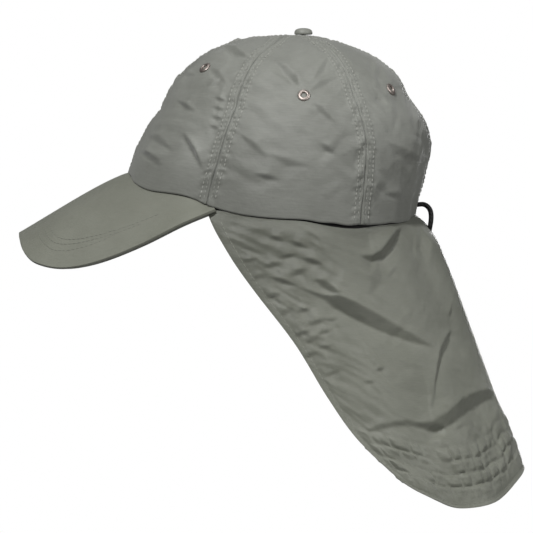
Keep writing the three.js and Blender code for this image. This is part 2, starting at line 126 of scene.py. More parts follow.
# Edge of the peak from its middle to its end, as shares of its reach, half width and fall
PEAK_EDGE = {
    "across": (-0.15, 0, 0.15, 0.3, 0.45, 0.6, 0.72, 0.84, 0.93, 1),
    "ahead": (0.99, 1, 0.99, 0.945, 0.825, 0.583, 0.275, -0.118, -0.482, -0.79),
    "side": (-0.256, 0, 0.256, 0.513, 0.7, 0.859, 0.949, 0.995, 0.99, 0.94),
    "fall": (0.72, 0.652, 0.72, 0.85, 0.962, 1.01, 0.945, 0.77, 0.565, 0.42),
}

# Lower edge of the flap from its front corner to the middle of the back, as shares of its sizes
FLAP_HEM = {
    "round": (0, 0.1, 0.22, 0.38, 0.55, 0.72, 0.88, 1, 1.12),
    "tail": (0.495, 0.57, 0.646, 0.745, 0.849, 0.93, 0.98, 1, 0.98),
    "drop": (0.902, 0.942, 0.976, 1, 0.993, 0.957, 0.9, 0.868, 0.9),
    "side": (1, 0.976, 0.927, 0.829, 0.671, 0.463, 0.22, 0, -0.22),
}

# How far back the flap has swept on its way down, at its front edge, side and middle
FLAP_SWEEP = {
    "down": (0, 0.04, 0.1, 0.2, 0.3, 0.5, 0.7, 0.85, 1),
    "front": (0, 0.02, 0.056, 0.132, 0.231, 0.45, 0.625, 0.78, 1),
    "side": (0, 0.012, 0.08, 0.19, 0.3, 0.5, 0.7, 0.85, 1),
    "back": (0, 0.1, 0.218, 0.32, 0.405, 0.56, 0.728, 0.88, 1),
}

# Pleats as seen from the cap's left side. A pleat is a band of cloth that tilts in between two sharp
# edges: its slope comes first, then the spots that it runs through, as x, z and width. The cloth on the
# left of the line, looking along it, stands proud.
CROWN_PLEATS = (
    (1.5, (-58, 53, 0), (-54, 46, 3.6), (-50, 39, 4.4), (-46, 30, 0)),
    (1.3, (-89, 42, 0), (-82, 39, 4.4), (-76, 35, 4.2), (-71, 29, 0)),
    (1.2, (-33, 110, 0), (-24, 105.5, 3.4), (-13, 100, 0)),
    (0.75, (-1, 100, 0), (7, 94.5, 3.6), (14, 87.5, 4.6), (18, 81, 0)),
    (0.5, (17, 80, 0), (9, 87, 3), (-2, 92, 0)),
    (0.55, (23, 79, 0), (31, 84, 4), (44, 90, 0)),
    (0.5, (24, 84, 0), (31, 93, 3.4), (36, 102, 0)),
    (0.7, (24, 73, 0), (31, 67, 4.5), (40, 58, 0)),
    (0.4, (-23, 53, 0), (-12, 44, 4), (-2, 34, 0)),
    (0.35, (-6, 40, 0), (10, 33, 5), (24, 31, 0)),
    (0.5, (-97, 50, 0), (-86, 63, 6), (-76, 76, 0)),
    (0.5, (-42, 96, 0), (-36, 91, 4), (-30, 84, 0)),
    (0.45, (-84, 52, 0), (-74, 49, 5), (-64, 40, 0)),
    (0.4, (92, 24, 0), (97, 38, 7), (97, 56, 0)),
    (0.4, (72, 48, 0), (84, 40, 6), (97, 34, 0)),
)
FLAP_PLEATS = (
    (0.85, (15, -46.5, 0), (27, -51, 2), (34, -53.5, 3.2), (40, -55.5, 8.5), (50, -60.5, 9.4),
     (60, -65.5, 8.8), (70, -70.5, 7.6), (80, -75.5, 6), (91, -80.5, 4), (104, -86, 0)),
    (0.8, (26, -41.5, 0), (32, -44, 4.5), (39, -49, 4), (43, -51, 0)),
    (1, (55, -26, 0), (64, -28, 4.4), (70, -25.5, 6), (75, -19.5, 6), (79, -13, 4.6), (83, -6, 3.8),
     (87, -1, 2.4), (91, 2, 0)),
    (0.25, (61, -53, 0), (66, -42, 10), (69, -30, 0)),
    (0.7, (73, -42, 0), (77, -37, 1.6), (81, -32, 0)),
    (0.5, (92, -5, 0), (92.5, -23, 1.5), (95.5, -31, 0)),
    (0.5, (95, -7, 0), (99, -20, 5), (101, -34, 0)),
    (0.8, (100, -128, 0), (103, -119, 1.4), (104, -108, 1.8), (106.5, -95.5, 2.8), (109, -86.5, 3.4),
     (113, -79, 3.2), (116, -74.5, 0)),
    (0.7, (114, -69, 0), (114.5, -63, 1.7), (115, -57, 0)),
    (0.5, (90, -134, 0), (102, -136, 6.5), (113, -131.5, 10), (123, -123, 10), (133, -118, 8.5),
     (140, -116, 5), (142, -115, 0)),
    (0.6, (122, -133, 0), (114, -138, 5), (106, -143, 3), (100, -146, 0)),
    (0.5, (55, -141, 0), (70, -136, 3.4), (86, -133.5, 4), (99, -136, 3.4), (112, -138.5, 5.4),
     (128, -134, 0)),
    (0.3, (140, -150, 0), (144, -138, 8), (146, -124, 0)),
)

# Short leaf-shaped pleats: start and end as x and z, and width in the middle
CROWN_LEAVES = (
    ((-38, 75), (-30, 73), 2.4),
    ((-39, 69), (-31, 67), 2.4),
    ((-40, 63), (-32, 61), 2.6),
    ((-41, 57), (-34, 55), 2.2),
    ((-42, 82), (-33, 88), 2.4),
    ((-62, 93), (-50, 90), 3.0),
    ((-62, 74), (-50, 66), 3.4),
    ((-74, 27), (-62, 22), 3.0),
    ((-66, 20), (-52, 15), 3.4),
    ((-82, 28), (-72, 22), 3.0),
    ((-12, 26), (4, 22), 3.4),
    ((30, 46), (40, 38), 3.4),
    ((66, 82), (74, 70), 3.0),
    ((72, 14), (86, 10), 4.0),
)
FLAP_LEAVES = (
    ((-2.5, -14), (7, -17), 2.6),
    ((10, -17), (23, -22), 3.2),
    ((3, -28.5), (16, -25), 2.6),
    ((19, -28), (32, -32), 3.8),
    ((-5, -34), (5, -31), 2.8),
    ((-19, -30.5), (-10, -28), 2.2),
    ((12, -40), (21, -34), 3.6),
    ((-2, -40), (16, -46), 3.0),
    ((-4, -54), (5, -50), 2.8),
    ((-13, -42), (-5, -38), 2.0),
    ((5, -66), (13, -58), 2.2),
    ((15.5, -63), (24, -60), 2.8),
    ((23, -71.5), (33, -67), 2.8),
    ((35, -69), (41, -66), 2.2),
    ((14, -78.5), (24, -74), 2.8),
    ((22, -83), (30, -77), 2.2),
    ((29, -77), (38, -73), 2.0),
    ((20, -92), (28, -88), 2.2),
    ((30, -86), (38, -84), 1.8),
    ((64, -101), (73, -98), 2.0),
    ((58, -108), (66, -107), 1.8),
    ((33, -104), (42, -100), 2.0),
)

# Route of the cord from its left hole to the middle of its loop: back, up, and share of its spread
CORD_ROUTE = ((-1.2, 0, 1), (1.6, 0.3, 1), (4.8, 0.4, 1), (7.6, -1, 1), (9.4, -3.8, 1), (9.9, -7.2, 1),
              (9.7, -10.8, 0.97), (9.2, -13.9, 0.78), (8.9, -15.9, 0.42), (8.8, -16.5, 0))

# Panels of the crown: name, first angle and the level of the eyelet
PANELS = (
    ("front_left", 0, 0.81),
    ("side_left", 60, 0.652),
    ("rear_left", 120, 0.69),
    ("rear_right", 180, 0.69),
    ("side_right", 240, 0.652),
    ("front_right", 300, 0.81),
)
PANEL_ANGLE = 60
EDGE_CROWDING = 0.72


def smoothstep(value, low, high):
    share = np.clip((value - low) / (high - low), 0, 1)
    return share * share * (3 - 2 * share)


def hump(value, width):
    return np.exp(-((value / width) ** 2))


def blend(low, high, share):
    return low + (high - low) * share


def unit(vectors):
    return vectors / np.linalg.norm(vectors, axis=-1, keepdims=True)


def stack(x, y, z):
    return np.stack(np.broadcast_arrays(x, y, z), axis=-1).astype(float)


def read_table(table, position, value, at):
    """Reads a smooth value from a table: a cubic through its rows, each with the slope of its neighbours."""
    x = np.array(table[position], float)
    y = np.array(table[value], float)
    after = np.minimum(np.arange(len(x)) + 1, len(x) - 1)
    before = np.maximum(np.arange(len(x)) - 1, 0)
    slope = (y[after] - y[before]) / (x[after] - x[before])
    row = np.clip(np.searchsorted(x, at) - 1, 0, len(x) - 2)
    step = x[row + 1] - x[row]
    t = np.clip((at - x[row]) / step, 0, 1)
    low = (1 + 2 * t) * (1 - t) ** 2
    return (y[row] * low + y[row + 1] * (1 - low)
            + slope[row] * t * (1 - t) ** 2 * step + slope[row + 1] * t * t * (t - 1) * step)


# The crown's sections by dome position, which is 0 at the apex
DOME_SECTIONS = {name: tuple(reversed(values)) for name, values in CROWN_SECTIONS.items()}
DOME_SECTIONS["dome"] = tuple(np.sqrt(1 - np.array(DOME_SECTIONS["level"])))


def hem_height(angle):
    angle = np.asarray(angle, float)
    folded = np.abs(np.where(angle > 180, 360 - angle, angle))
    return HEM_RISE * read_table(HEM_LINE, "angle", "rise", folded)


def crown_face(angle, level):
    """Points of the crown's smooth outer face, at an angle round the head and a level up the crown."""
    angle = np.asarray(angle, float)
    dome = np.sqrt(np.maximum(1 - np.asarray(level, float), 0))
    lean = read_table(DOME_SECTIONS, "dome", "lean", dome) * np.sin(np.radians(2 * angle))
    turn = np.radians(angle + lean)
    front = CROWN_FRONT_REACH * read_table(DOME_SECTIONS, "dome", "front", dome)
    rear = CROWN_REAR_REACH * read_table(DOME_SECTIONS, "dome", "rear", dome)
    half = CROWN_HALF_WIDTH * read_table(DOME_SECTIONS, "dome", "half", dome)
    reach = np.where(np.cos(turn) > 0, front, rear)
    return stack(
        APEX_X - np.cos(turn) * np.maximum(reach, BUTTON_HOLE),
        -np.sin(turn) * np.maximum(half, BUTTON_HOLE),
        CROWN_HEIGHT * np.asarray(level, float),
    )


def level_at(angle, lift):
    hem_dome = np.sqrt(1 - hem_height(angle) / CROWN_HEIGHT)
    return 1 - (hem_dome * (1 - lift)) ** 2


def normal_of(face, u, v, u_step, v_step):
    along_u = face(u + u_step, v) - face(u - u_step, v)
    along_v = face(u, v + v_step) - face(u, v - v_step)
    return unit(np.cross(along_u, along_v))


def crown_normal(angle, level):
    return normal_of(crown_face, angle, np.minimum(level, 0.992), 0.5, 0.004)


# Random numbers for the cloth's own unevenness, the same on every run
LATTICE = np.random.default_rng(11).random((4, 64, 64))


def soft_noise(x, y, layer):
    """Smooth noise from -1 to 1 on a lattice one unit wide."""
    left, low = np.floor(x).astype(int), np.floor(y).astype(int)
    u, v = smoothstep(x - left, 0, 1), smoothstep(y - low, 0, 1)
    value = LATTICE[layer]
    bottom = blend(value[left % 64, low % 64], value[(left + 1) % 64, low % 64], u)
    top = blend(value[left % 64, (low + 1) % 64], value[(left + 1) % 64, (low + 1) % 64], u)
    return 2 * blend(bottom, top, v) - 1


def creased(x, y, heading, pitch, layer):
    """Flat facets between sharp wandering creases that run along a heading, in patches: -1 to 1."""
    across = y * np.cos(np.radians(heading)) - x * np.sin(np.radians(heading))
    wander = 0.55 * soft_noise(x / 29, y / 29, layer) + 0.3 * soft_noise(x / 11, y / 11, (layer + 1) % 4)
    phase = across / pitch + wander
    patch = smoothstep(soft_noise(x / 15 + 7, y / 15, (layer + 2) % 4), -0.45, 0.45)
    return patch * (2 * np.abs(2 * (phase - np.floor(phase)) - 1) - 1)


def pleat(x, z, slope, *spots):
    """The relief of one pleat, which fades out beside its two edges."""
    nearest = np.full(len(x), np.inf)
    side, width = np.zeros(len(x)), np.zeros(len(x))
    for (x0, z0, width0), (x1, z1, width1) in zip(spots, spots[1:]):
        ahead, up = x1 - x0, z1 - z0
        share = np.clip(((x - x0) * ahead + (z - z0) * up) / (ahead**2 + up**2), 0, 1)
        away = np.hypot(x - x0 - share * ahead, z - z0 - share * up)
        left = np.sign((z - z0) * ahead - (x - x0) * up)
        side = np.where(away < nearest, left * away, side)
        width = np.where(away < nearest, blend(width0, width1, share), width)
        nearest = np.minimum(nearest, away)
    half = np.maximum(width / 2, 0.05)
    beside = np.maximum(nearest - half, 0)
    return slope * half * np.clip(side / half, -1, 1) * np.exp(-beside / (1.5 + width))


def leaf(start, end, width):
    """A short pleat, widest in the middle and pointed at both ends."""
    middle = ((start[0] + end[0]) / 2, (start[1] + end[1]) / 2, width)
    return (LEAF_SLOPE, (*start, 0), middle, (*end, 0))


def pleats(rows, leaves, points):
    """All the pleats on the left side, and the same a little shifted on the right side."""
    on_left = points[:, 1] < 0
    x = np.where(on_left, points[:, 0], points[:, 0] + RIGHT_SHIFT)
    z = np.where(on_left, points[:, 2], points[:, 2] * RIGHT_STRETCH + RIGHT_LIFT)
    total = sum(pleat(x, z, *row) for row in rows) + sum(pleat(x, z, *leaf(*row)) for row in leaves)
    return total * smoothstep(np.abs(points[:, 1]), 4, 16)


def crown_spot(angle, level):
    return crown_face(angle, level).reshape(3)


EYELET_SEATS = [
    (crown_spot(start + PANEL_ANGLE / 2, level), crown_normal(start + PANEL_ANGLE / 2, level).reshape(3))
    for _, start, level in PANELS
]


def rear_gather(angle, points):
    from_back = np.minimum(np.abs(angle - 180) / 42, 1)
    ripple = 0.5 - 0.5 * np.cos(np.radians(angle * 24))
    fade = hump(points[:, 2] - hem_height(angle), GATHER_HEIGHT)
    return GATHER_DEPTH * ripple * fade * (1 - from_back**2)


def seam_run(seam):
    """Levels up a seam and the length of cloth from the hem to each of them."""
    levels = level_at(seam, np.linspace(0, 1, 240))
    points = crown_face(seam, levels)
    steps = np.linalg.norm(np.diff(points, axis=0), axis=1)
    return levels, np.concatenate([[0], np.cumsum(steps)])


def seam_relief(level, points, seam):
    """The seam's rolled edge, the needle dips of its stitch rows and the puckers between them."""
    away = np.linalg.norm(points - crown_face(seam, level), axis=1)
    levels, run = seam_run(seam)
    travel = np.interp(level, levels, run)
    rolled = -SEAM_ROLL * hump(away, SEAM_ROLL_WIDTH)
    needle = 0.5 + 0.5 * np.cos(2 * np.pi * travel / CROWN_PITCH)
    rows = sum(hump(away - row, 0.9) for row in CROWN_ROWS)
    uneven = 0.6 + 0.4 * soft_noise(travel / 9, away * 0 + seam / 7, 1)
    beside = smoothstep(away, 0.5, 2) * (1 - smoothstep(away, 4.5, 10))
    pucker = uneven * beside * soft_noise((travel + 0.35 * away) / 2.7, away / 9 + seam, 2)
    padded = 0.45 * (1 - smoothstep(away, 5.8, 7))
    return rolled + padded - 0.42 * needle * rows + 1.25 * pucker


def crown_relief(angle, level, points, start):
    folds = pleats(CROWN_PLEATS, CROWN_LEAVES, points)
    band_top = hem_height(angle) + BAND_HEIGHT
    above_band = smoothstep(points[:, 2], band_top, band_top + CREASE_FADE)
    off_eyelet = np.ones(len(points))
    for spot, _ in EYELET_SEATS:
        away = np.linalg.norm(points - spot, axis=1)
        off_eyelet = np.minimum(off_eyelet, smoothstep(away, EYELET_RADIUS, EYELET_RADIUS + EYELET_FLAT))
    seams = sum(seam_relief(level, points, seam) for seam in (start, (start + PANEL_ANGLE) % 360))
    x, y = points[:, 0] + 0.6 * points[:, 1], points[:, 2]
    soft = 0.7 * soft_noise(x / 21, y / 17, 3) + 0.25 * soft_noise(x / 8, y / 7, 0)
    soft += 0.42 * creased(x, y, 35, 17, 1) + 0.32 * creased(x, y, -40, 13, 2)
    seams *= 1 - smoothstep(level, 0.985, 0.998)
    off_middle = blend(0.25, 1, smoothstep(np.abs(points[:, 1]), 5, 32))
    creases = above_band * off_eyelet * off_middle * (folds + soft)
    return rear_gather(angle, points) + creases + off_eyelet * seams


def crown_surface(angle, level, start):
    points = crown_face(angle, level)
    relief = crown_relief(angle, level, points, start)
    return points + crown_normal(angle, level) * relief[:, None]


def closer_to_edges(share, strength):
    """Shares from 0 to 1 that crowd towards both ends."""
    return share - strength * np.sin(2 * np.pi * share) / (2 * np.pi)


def finish_mesh(name, bm, material):
    mesh = bpy.data.meshes.new(name)
    bm.to_mesh(mesh)
    bm.free()
    mesh.shade_smooth()
    piece = bpy.data.objects.new(name, mesh)
    bpy.context.scene.collection.objects.link(piece)
    mesh.materials.append(material)
    return piece


def cloth(name, columns, rows, flat, place, material):
    """A sheet of cloth: a grid whose points are placed by a function of the shares across and up."""
    bm = bmesh.new()
    bm.loops.layers.uv.new("UVMap")
    bmesh.ops.create_grid(bm, x_segments=columns, y_segments=rows, size=1, calc_uvs=True)
    shares = np.array([(v.co.x, v.co.y) for v in bm.verts]) / 2 + 0.5
    points = place(shares[:, 0], shares[:, 1]) * MM
    for vert, point in zip(bm.verts, points):
        vert.co = point
    layer = bm.loops.layers.uv.active
    for face in bm.faces:
        for loop in face.loops:
            loop[layer].uv = (loop[layer].uv.x * flat[0] * MM, loop[layer].uv.y * flat[1] * MM)
    return finish_mesh(name, bm, material)


def thicken(piece, wall, offset=-1, rounding=0):
    solid = piece.modifiers.new("wall", "SOLIDIFY")
    solid.thickness = wall * MM
    solid.offset = offset
    if rounding:
        bevel = piece.modifiers.new("rounded edge", "BEVEL")
        bevel.width = rounding * MM
        bevel.segments = 3
        bevel.limit_method = "ANGLE"
        bevel.angle_limit = np.radians(60)


def belongs(piece, slot, *nodes):
    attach(piece, "root")
    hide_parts(*nodes)


def turned(name, profile, steps, matrix, material):
    """A ring or knob turned from a profile of radius and height, then set in place."""
    bm = bmesh.new()
    verts = [bm.verts.new((radius * MM, 0, height * MM)) for radius, height in profile]
    edges = [bm.edges.new(pair) for pair in zip(verts, verts[1:])]
    bmesh.ops.spin(bm, geom=verts + edges, axis=(0, 0, 1), cent=(0, 0, 0), angle=2 * np.pi, steps=steps,
                   use_merge=True)
    bmesh.ops.remove_doubles(bm, verts=bm.verts, dist=1e-6)
    bmesh.ops.recalc_face_normals(bm, faces=bm.faces)
    bmesh.ops.transform(bm, matrix=matrix, verts=bm.verts)
    return finish_mesh(name, bm, material)


def standing(point, outward):
    """A matrix that stands +Z along a direction, at a point in millimetres."""
    turn = Vector(outward).to_track_quat("Z", "Y").to_matrix().to_4x4()
    return Matrix.Translation(Vector(point) * MM) @ turn


def node(tree, kind, settings=(), **inputs):
    """A shader node with its settings and its inputs, each a value or another node's socket."""
    made = tree.nodes.new("ShaderNode" + kind)
    for name, value in dict(settings).items():
        setattr(made, name, value)
    for name, value in inputs.items():
        slot = made.inputs[int(name[1:])] if name[0] == "i" and name[1:].isdigit() else made.inputs[name]
        if isinstance(value, bpy.types.NodeSocket):
            tree.links.new(value, slot)
        else:
            slot.default_value = value
    return made


def new_finish(name, **values):
    material = bpy.data.materials.new(name)
    material.use_nodes = True
    shader = material.node_tree.nodes["Principled BSDF"]
    for key, value in values.items():
        shader.inputs[key.replace("_", " ")].default_value = value
    return material, material.node_tree, shader


def mottled(tree, coordinates, scale, dark, light, detail=4):
    """Two near shades of one colour in soft patches."""
    patches = node(tree, "TexNoise", Vector=coordinates, Scale=scale, Detail=detail, Roughness=0.55)
    ramp = node(tree, "ValToRGB", Fac=patches.outputs["Fac"])
    ramp.color_ramp.elements[0].position = 0.34
    ramp.color_ramp.elements[0].color = (*dark, 1)
    ramp.color_ramp.elements[1].position = 0.66
    ramp.color_ramp.elements[1].color = (*light, 1)
    return ramp.outputs["Color"]


def nylon(name, dark, light, roughness, sheen, painted_shade=(-0.1, 0.1, 1, 1)):
    """Plain woven nylon: fine threads both ways, faint slubs and a soft sheen.

    The painted shade is two heights in metres and the depth of the colour at each: the colour is darkened or
    lightened by height as painted shade and painted light.
    """
    material, tree, shader = new_finish(
        name, Sheen_Weight=sheen, Sheen_Roughness=0.45, Specular_IOR_Level=0.5)
    place = node(tree, "TexCoord")
    uv = place.outputs["UV"]
    spots = mottled(tree, place.outputs["Object"], 26, dark, light)
    height = node(tree, "SeparateXYZ", Vector=place.outputs["Object"])
    # Painted shade and light: the colour is multiplied by a factor that changes with height.
    shade_by_height = node(tree, "MapRange", i0=height.outputs["Z"], i1=painted_shade[0], i2=painted_shade[1], i3=painted_shade[2],
                 i4=painted_shade[3])
    colour = node(tree, "Mix", {"data_type": "RGBA", "blend_type": "MULTIPLY"}, Factor=1, i6=spots,
                  i7=shade_by_height.outputs["Result"])
    threads_across = node(tree, "TexWave", {"bands_direction": "X"}, Vector=uv, Scale=1100, Distortion=0.6)
    threads_up = node(tree, "TexWave", {"bands_direction": "Y"}, Vector=uv, Scale=1100, Distortion=0.6)
    crossing = node(tree, "Math", {"operation": "ADD"}, i0=threads_across.outputs["Fac"],
                    i1=threads_up.outputs["Fac"])
    stretched = node(tree, "Mapping", Vector=uv, Scale=(160, 1500, 1))
    slubs = node(tree, "TexNoise", Vector=stretched.outputs["Vector"], Scale=1, Detail=3)
    darker = node(tree, "Mix", {"data_type": "RGBA", "blend_type": "MULTIPLY"}, Factor=0.3,
                  i6=colour.outputs[2], i7=slubs.outputs["Fac"])
    tree.links.new(darker.outputs[2], shader.inputs["Base Color"])
    shine = node(tree, "MapRange", i0=slubs.outputs["Fac"], i3=roughness - 0.06, i4=roughness + 0.08)
    tree.links.new(shine.outputs["Result"], shader.inputs["Roughness"])
    woven = node(tree, "Bump", Strength=0.35, Distance=0.0001, Height=crossing.outputs["Value"])
    small = node(tree, "TexNoise", Vector=place.outputs["Object"], Scale=330, Detail=3)
    crushed = node(tree, "Bump", Strength=0.5, Distance=0.0004, Height=small.outputs["Fac"],
                   Normal=woven.outputs["Normal"])
    tree.links.new(crushed.outputs["Normal"], shader.inputs["Normal"])
    return material


def band_tape():
    """Black ribbed tape with a dull lustre and a little lint. Where its edge shows in the gap under the
    crown's hem, its near-black is partly the band's own colour and partly painted shadow.
    """
    material, tree, shader = new_finish("black_band_tape_and_gap_shade", Roughness=0.85, Sheen_Weight=0.15)
    place = node(tree, "TexCoord")
    # Near-black: the band's own colour, and also painted shadow where it shows under the crown's hem.
    lint = mottled(tree, place.outputs["Object"], 300, (0.004, 0.004, 0.004), (0.012, 0.012, 0.012))
    tree.links.new(lint, shader.inputs["Base Color"])
    ribs = node(tree, "TexWave", {"bands_direction": "X"}, Vector=place.outputs["UV"], Scale=420)
    raised = node(tree, "Bump", Strength=0.6, Distance=0.0003, Height=ribs.outputs["Fac"])
    tree.links.new(raised.outputs["Normal"], shader.inputs["Normal"])
    return material


def braided_elastic():
    """Black braided cord: slanting strands with grey lint between them."""
    material, tree, shader = new_finish("black_elastic_braid", Roughness=0.7, Sheen_Weight=0.05)
    place = node(tree, "TexCoord")
    lint = mottled(tree, place.outputs["Object"], 500, (0.003, 0.003, 0.003), (0.009, 0.009, 0.009))
    tree.links.new(lint, shader.inputs["Base Color"])
    strands = node(tree, "TexWave", {"bands_direction": "DIAGONAL"}, Vector=place.outputs["Object"],
                   Scale=260)
    raised = node(tree, "Bump", Strength=0.7, Distance=0.0003, Height=strands.outputs["Fac"])
    tree.links.new(raised.outputs["Normal"], shader.inputs["Normal"])
    return material


def aged_copper():
    """Pinkish copper plating, dulled in patches and rubbed brighter elsewhere."""
    material, tree, shader = new_finish("aged_copper", Metallic=1)
    place = node(tree, "TexCoord")
    tarnish = mottled(tree, place.outputs["Object"], 900, (0.3, 0.26, 0.235), (0.46, 0.4, 0.37))
    tree.links.new(tarnish, shader.inputs["Base Color"])
    rub = node(tree, "TexNoise", Vector=place.outputs["Object"], Scale=1400, Detail=3)
    dulled = node(tree, "MapRange", i0=rub.outputs["Fac"], i3=0.38, i4=0.58)
    tree.links.new(dulled.outputs["Result"], shader.inputs["Roughness"])
    scratched = node(tree, "Bump", Strength=0.25, Distance=0.0001, Height=rub.outputs["Fac"])
    tree.links.new(scratched.outputs["Normal"], shader.inputs["Normal"])
    return material


def sewing_thread(name, dark, light):
    """Twisted polyester thread."""
    material, tree, shader = new_finish(name, Roughness=0.5, Sheen_Weight=0.2)
    place = node(tree, "TexCoord")
    fibres = mottled(tree, place.outputs["Object"], 700, dark, light)
    tree.links.new(fibres, shader.inputs["Base Color"])
    twist = node(tree, "TexWave", {"bands_direction": "DIAGONAL"}, Vector=place.outputs["Object"], Scale=900)
    raised = node(tree, "Bump", Strength=0.4, Distance=0.0001, Height=twist.outputs["Fac"])
    tree.links.new(raised.outputs["Normal"], shader.inputs["Normal"])
    return material


# The crown's colour is painted darker towards its hem and a little lighter towards its top: painted shade low
# down and a painted highlight above.
CROWN_FINISH = nylon(
    "crown_nylon_cloth", (0.2, 0.206, 0.182), (0.25, 0.257, 0.23), 0.52, 0.2, (0.015, 0.085, 0.9, 1.03))
PEAK_FINISH = nylon("peak_nylon_cloth", (0.164, 0.17, 0.135), (0.19, 0.197, 0.159), 0.62, 0.2)
# The flap's colour is painted darker near its top: painted shadow of the crown's hem.
FLAP_FINISH = nylon(
    "flap_nylon_cloth", (0.178, 0.186, 0.15), (0.222, 0.23, 0.19), 0.4, 0.2, (-0.09, -0.01, 1, 0.78))
THREAD_FINISH = sewing_thread("sage_thread", (0.24, 0.245, 0.215), (0.35, 0.355, 0.32))
FLAP_THREAD_FINISH = sewing_thread("flap_thread", (0.16, 0.165, 0.135), (0.24, 0.245, 0.205))
PEAK_THREAD_FINISH = sewing_thread("peak_thread", (0.1, 0.105, 0.085), (0.15, 0.155, 0.125))
BAND_FINISH = band_tape()
ELASTIC_FINISH = braided_elastic()
COPPER_FINISH = aged_copper()


def crown_panel(name, start):
    def place(across, up):
        angle = start + closer_to_edges(across, EDGE_CROWDING) * PANEL_ANGLE
        lap = HEM_LAP * (1 + 0.7 * soft_noise((angle % 360) / 7, 0 * angle, 2))
        return crown_surface(angle, level_at(angle, up) - lap / CROWN_HEIGHT * (1 - up) ** 12, start)

    panel = cloth("cloth_panel_" + name, 90, 190, (88, 150), place, CROWN_FINISH)
    thicken(panel, CROWN_CLOTH)
    belongs(panel, "crown_nylon", "crown_panel_" + name)


def stitch_template():
    bm = bmesh.new()
    bmesh.ops.create_uvsphere(bm, u_segments=6, v_segments=4, radius=1)
    mesh = bpy.data.meshes.new("stitch")
    bm.to_mesh(mesh)
    bm.free()
    return mesh


def stitch_places(points, normals, length, width, sink):
    """Matrices that lay a stitch between each point and the next."""
    places = []
    for here, there, outward in zip(points, points[1:], normals):
        ahead = unit(there - here)
        side = unit(np.cross(outward, ahead))
        lift = np.cross(ahead, side)
        middle = (here + there) / 2 + lift * (0.5 * width - sink)
        turn = Matrix([[*row] for row in np.stack([side, lift, ahead], axis=1)]).to_4x4()
        size = Matrix.Diagonal((width / 2 * MM, width / 2 * MM, length / 2 * MM, 1))
        places.append(Matrix.Translation(Vector(middle * MM)) @ turn @ size)
    return places


def sew(name, places, material):
    template = stitch_template()
    bm = bmesh.new()
    for place in places:
        one = template.copy()
        one.transform(place)
        bm.from_mesh(one)
        bpy.data.meshes.remove(one)
    bmesh.ops.recalc_face_normals(bm, faces=bm.faces)
    piece = finish_mesh(name, bm, material)
    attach(piece, "root")


def crown_stitching():
    places = []
    for _, start, _ in PANELS:
        for seam, hand in ((start, 1), (start + PANEL_ANGLE, -1)):
            levels, run = seam_run(seam % 360)
            stops = np.arange(CROWN_PITCH, run[-1] - 9, CROWN_PITCH)
            level = np.interp(stops, run, levels)
            per_degree = np.linalg.norm(crown_face(seam + 0.5, level) - crown_face(seam - 0.5, level), axis=1)
            for row in CROWN_ROWS:
                fits = per_degree * PANEL_ANGLE / 2 > row * 1.6
                angle = seam + hand * row / per_degree
                points = crown_surface(angle[fits], level[fits], start)
                outward = crown_normal(angle[fits], level[fits])
                thick = 0.75 if row == CROWN_ROWS[-1] else 0.5
                places += stitch_places(points, outward[:-1], 2.2, thick, 0.05)
    sew("crown_stitching", places, THREAD_FINISH)


def eyelet(name, seat):
    profile = (
        (1.8, -2.7), (1.8, 0.2), (1.85, 0.75), (2.05, 1.05), (2.4, 1.2), (2.8, 1.17), (3.2, 1.02),
        (3.6, 0.88), (3.95, 0.66), (EYELET_RADIUS, 0.4), (4.05, 0.12), (3.7, 0.1), (2.5, 0.1), (2.4, 0),
        (2.4, -1.8), (3.4, -1.85), (3.5, -2.1), (3.4, -2.5), (3.0, -2.7), (1.8, -2.7),
    )
    piece = turned("metal_eyelet_" + name, profile, 40, standing(*seat), COPPER_FINISH)
    belongs(piece, "eyelet_metal", "eyelet_" + name)


def top_button():
    profile = (
        (0, -3.4), (4.2, -3.4), (4.3, -2.7), (1.4, -2.6), (1.4, 0.2), (5.2, 0.2), (5.75, 0.45), (5.95, 1.0),
        (5.9, 1.7), (5.65, 2.6), (5.1, 3.3), (4.2, 3.85), (3.0, 4.25), (1.6, 4.45), (0, 4.5),
    )
    place = Matrix.Translation((APEX_X * MM, 0, CROWN_HEIGHT * MM))
    button = turned("cloth_button", profile, 48, place, CROWN_FINISH)
    belongs(button, "crown_nylon", "top_button")


def peak_face(across, out):
    side = np.abs(across)
    angle = PEAK_SPAN * side
    hem = crown_face(angle, hem_height(angle) / CROWN_HEIGHT)
    hem[:, 0] += PEAK_TUCK * np.cos(np.radians(angle))
    hem[:, 1] += PEAK_TUCK * np.sin(np.radians(angle))
    hem[:, 2] -= PEAK_SEAT + PEAK_THICKNESS / 2
    edge = stack(
        APEX_X - CROWN_FRONT_REACH - PEAK_REACH * read_table(PEAK_EDGE, "across", "ahead", side),
        -PEAK_HALF_WIDTH * read_table(PEAK_EDGE, "across", "side", side),
        HEM_RISE - PEAK_FALL * read_table(PEAK_EDGE, "across", "fall", side),
    )
    points = blend(hem, edge, out[:, None])
    inside = np.clip(out, 0, 1)
    points[:, 2] += PEAK_BOW * inside**0.6 * (1 - inside) ** 1.4 * (1 - 0.85 * side**2)
    points[:, 1] *= np.where(across < 0, -1, 1)
    return points


def peak_up(across, out):
    inside = np.clip(out, 0.02, 0.98)
    return -normal_of(peak_face, np.clip(across, -0.99, 0.99), inside, 0.01, 0.02)


def peak():
    def place(across, up):
        u = 2 * across - 1
        out = 1 - up
        soft = 0.18 * soft_noise(u * 6, out * 3, 1)
        return peak_face(u, out) + peak_up(u, out) * soft[:, None]

    shade = cloth("stiff_peak", 150, 44, (200, 75), place, PEAK_FINISH)
    thicken(shade, PEAK_THICKNESS, offset=0, rounding=0.8)
    belongs(shade, "peak_nylon", "peak")


